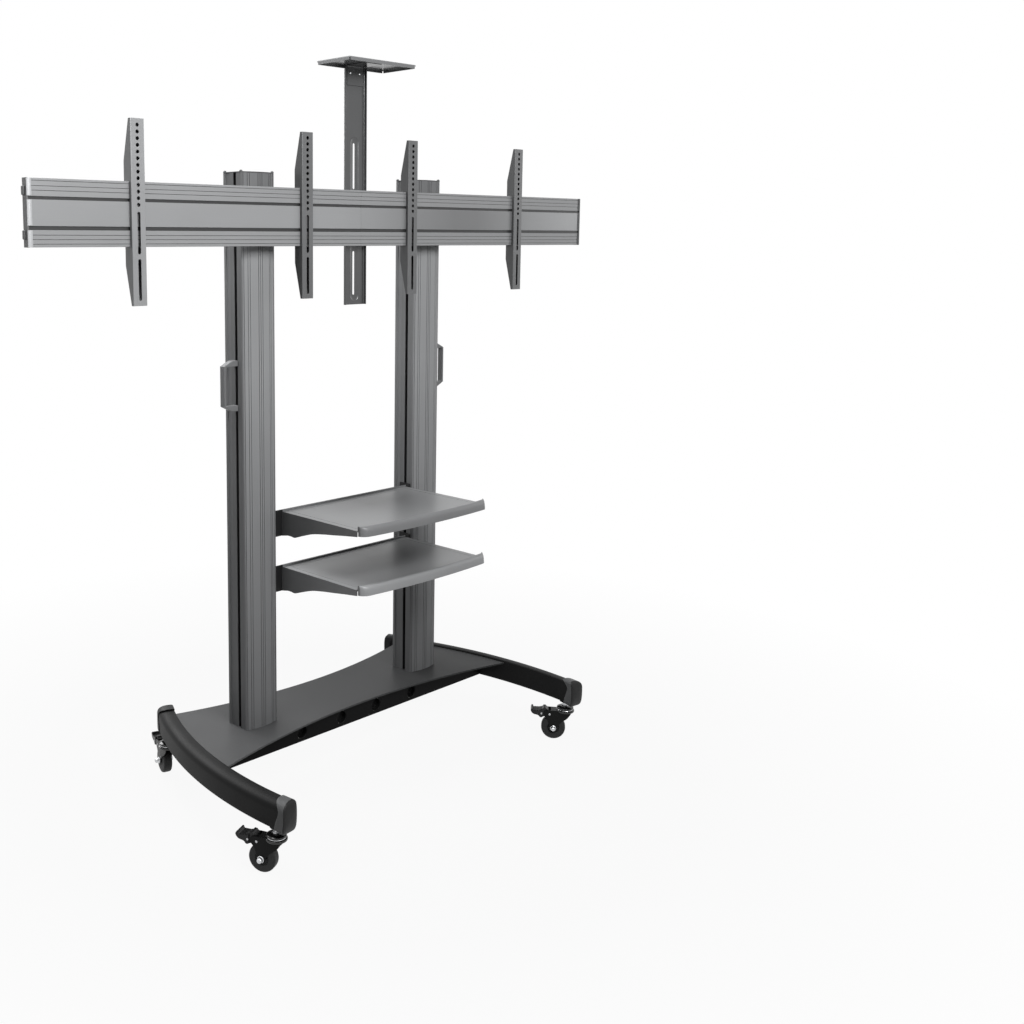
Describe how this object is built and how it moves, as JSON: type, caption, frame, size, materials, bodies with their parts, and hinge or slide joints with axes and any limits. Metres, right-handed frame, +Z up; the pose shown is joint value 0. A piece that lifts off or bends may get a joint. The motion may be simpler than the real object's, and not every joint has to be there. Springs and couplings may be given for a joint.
{
  "type": "dual display floor stand",
  "caption": "Wheeled floor stand for side-by-side displays: crossbeam with display brackets on upright columns, camera shelf on a slotted bar, height-set trays and braked swivel casters.",
  "frame": {"origin": "on the floor, under the centre of the stand's overall box", "axes": "+Z up, +X along the crossbeam towards the right-hand side seen from the front, +Y towards the rear, so the displays face -Y"},
  "size_m": [1.999, 0.7436, 1.9545],
  "materials": {
    "grey_extrusion": "satin grey powder coat on an extrusion",
    "deck_paint": "satin charcoal powder coat",
    "leg_paint": "fine textured black powder coat",
    "cap_plastic": "satin grey moulded plastic",
    "black_plastic": "satin black",
    "black_steel": "satin black",
    "grey_steel": "satin metallic grey",
    "tray_paint": "satin metallic grey",
    "bar_paint": "glossy dark grey",
    "zinc": "zinc plated",
    "tyre_rubber": "matt black"
  },
  "bodies": {
    "base": {"base_crossmember": "black_steel", "base_deck": "deck_paint", "caster_stem_front_left": "zinc", "caster_stem_front_right": "zinc", "caster_stem_rear_left": "zinc", "caster_stem_rear_right": "zinc", "column_cap_left": "black_plastic", "column_cap_right": "black_plastic", "column_left": "grey_extrusion", "column_right": "grey_extrusion", "grommet_high_left": "black_plastic", "grommet_high_right": "black_plastic", "grommet_low_left": "black_plastic", "grommet_low_right": "black_plastic", "handle_left": "grey_steel", "handle_right": "grey_steel", "leg_cap_front_left": "cap_plastic", "leg_cap_front_right": "cap_plastic", "leg_cap_rear_left": "cap_plastic", "leg_cap_rear_right": "cap_plastic", "leg_left": "leg_paint", "leg_right": "leg_paint"},
    "crossbeam": {"beam_left": "grey_extrusion", "beam_right": "grey_extrusion", "beam_cap_left": "grey_steel", "beam_cap_right": "grey_steel", "beam_joint_plate": "grey_steel", "column_bracket_left": "black_steel", "column_bracket_right": "black_steel", "camera_bar_bolt_low": "zinc", "camera_bar_bolt_high": "zinc"},
    "camera_holder": {"camera_bar": "bar_paint", "camera_shelf": "bar_paint", "camera_shelf_tab": "bar_paint"},
    "shelf_upper": {"shelf_tray_upper": "tray_paint", "shelf_rail_upper": "black_steel"},
    "shelf_lower": {"shelf_tray_lower": "tray_paint", "shelf_rail_lower": "black_steel"},
    "display_bracket_1": {"display_bracket_1": "grey_steel"},
    "display_bracket_2": {"display_bracket_2": "grey_steel"},
    "display_bracket_3": {"display_bracket_3": "grey_steel"},
    "display_bracket_4": {"display_bracket_4": "grey_steel"},
    "swivel_front_left": {"caster_fork_front_left": "black_steel", "caster_axle_front_left": "zinc"},
    "wheel_front_left": {"caster_wheel_front_left": "tyre_rubber"},
    "pedal_front_left": {"caster_pedal_front_left": "black_steel"},
    "swivel_front_right": {"caster_fork_front_right": "black_steel", "caster_axle_front_right": "zinc"},
    "wheel_front_right": {"caster_wheel_front_right": "tyre_rubber"},
    "pedal_front_right": {"caster_pedal_front_right": "black_steel"},
    "swivel_rear_left": {"caster_fork_rear_left": "black_steel", "caster_axle_rear_left": "zinc"},
    "wheel_rear_left": {"caster_wheel_rear_left": "tyre_rubber"},
    "pedal_rear_left": {"caster_pedal_rear_left": "black_steel"},
    "swivel_rear_right": {"caster_fork_rear_right": "black_steel", "caster_axle_rear_right": "zinc"},
    "wheel_rear_right": {"caster_wheel_rear_right": "tyre_rubber"},
    "pedal_rear_right": {"caster_pedal_rear_right": "black_steel"}
  },
  "joints": [
    {"name": "crossbeam_height", "type": "slide", "parent": "base", "child": "crossbeam", "axis": [0, 0, 1], "range_m": [-0.3, 0.03]},
    {"name": "display_bracket_1_slide", "type": "slide", "parent": "crossbeam", "child": "display_bracket_1", "axis": [1, 0, 0], "range_m": [-0.24, 0.21]},
    {"name": "display_bracket_2_slide", "type": "slide", "parent": "crossbeam", "child": "display_bracket_2", "axis": [1, 0, 0], "range_m": [-0.24, 0.12]},
    {"name": "display_bracket_3_slide", "type": "slide", "parent": "crossbeam", "child": "display_bracket_3", "axis": [1, 0, 0], "range_m": [-0.12, 0.21]},
    {"name": "display_bracket_4_slide", "type": "slide", "parent": "crossbeam", "child": "display_bracket_4", "axis": [1, 0, 0], "range_m": [-0.21, 0.24]},
    {"name": "camera_bar_height", "type": "slide", "parent": "crossbeam", "child": "camera_holder", "axis": [0, 0, 1], "range_m": [-0.007, 0.021]},
    {"name": "upper_shelf_height", "type": "slide", "parent": "base", "child": "shelf_upper", "axis": [0, 0, 1], "range_m": [-0.03, 0.2]},
    {"name": "lower_shelf_height", "type": "slide", "parent": "base", "child": "shelf_lower", "axis": [0, 0, 1], "range_m": [-0.25, 0.03]},
    {"name": "swivel_front_left", "type": "hinge", "parent": "base", "child": "swivel_front_left", "pos_m": [-0.56368, -0.32348, 0.0945], "axis": [0, 0, 1], "continuous": true},
    {"name": "wheel_spin_front_left", "type": "hinge", "parent": "swivel_front_left", "child": "wheel_front_left", "pos_m": [-0.57751, -0.29242, 0.0355], "axis": [-0.9135, -0.4067, 0], "continuous": true},
    {"name": "brake_front_left", "type": "hinge", "parent": "swivel_front_left", "child": "pedal_front_left", "pos_m": [-0.58219, -0.28191, 0.0775], "axis": [-0.9135, -0.4067, 0], "range_deg": [0, 12]},
    {"name": "swivel_front_right", "type": "hinge", "parent": "base", "child": "swivel_front_right", "pos_m": [0.56368, -0.32348, 0.0945], "axis": [0, 0, 1], "continuous": true},
    {"name": "wheel_spin_front_right", "type": "hinge", "parent": "swivel_front_right", "child": "wheel_front_right", "pos_m": [0.54322, -0.29632, 0.0355], "axis": [-0.7986, -0.6018, 0], "continuous": true},
    {"name": "brake_front_right", "type": "hinge", "parent": "swivel_front_right", "child": "pedal_front_right", "pos_m": [0.5363, -0.28714, 0.0775], "axis": [-0.7986, -0.6018, 0], "range_deg": [0, 12]},
    {"name": "swivel_rear_left", "type": "hinge", "parent": "base", "child": "swivel_rear_left", "pos_m": [-0.46181, 0.27121, 0.0945], "axis": [0, 0, 1], "continuous": true},
    {"name": "wheel_spin_rear_left", "type": "hinge", "parent": "swivel_rear_left", "child": "wheel_rear_left", "pos_m": [-0.45187, 0.30372, 0.0355], "axis": [-0.9563, 0.2924, 0], "continuous": true},
    {"name": "brake_rear_left", "type": "hinge", "parent": "swivel_rear_left", "child": "pedal_rear_left", "pos_m": [-0.44851, 0.31472, 0.0775], "axis": [-0.9563, 0.2924, 0], "range_deg": [0, 12]},
    {"name": "swivel_rear_right", "type": "hinge", "parent": "base", "child": "swivel_rear_right", "pos_m": [0.46181, 0.27121, 0.0945], "axis": [0, 0, 1], "continuous": true},
    {"name": "wheel_spin_rear_right", "type": "hinge", "parent": "swivel_rear_right", "child": "wheel_rear_right", "pos_m": [0.45074, 0.30336, 0.0355], "axis": [-0.9455, -0.3256, 0], "continuous": true},
    {"name": "brake_rear_right", "type": "hinge", "parent": "swivel_rear_right", "child": "pedal_rear_right", "pos_m": [0.447, 0.31423, 0.0775], "axis": [-0.9455, -0.3256, 0], "range_deg": [0, 12]}
  ]
}
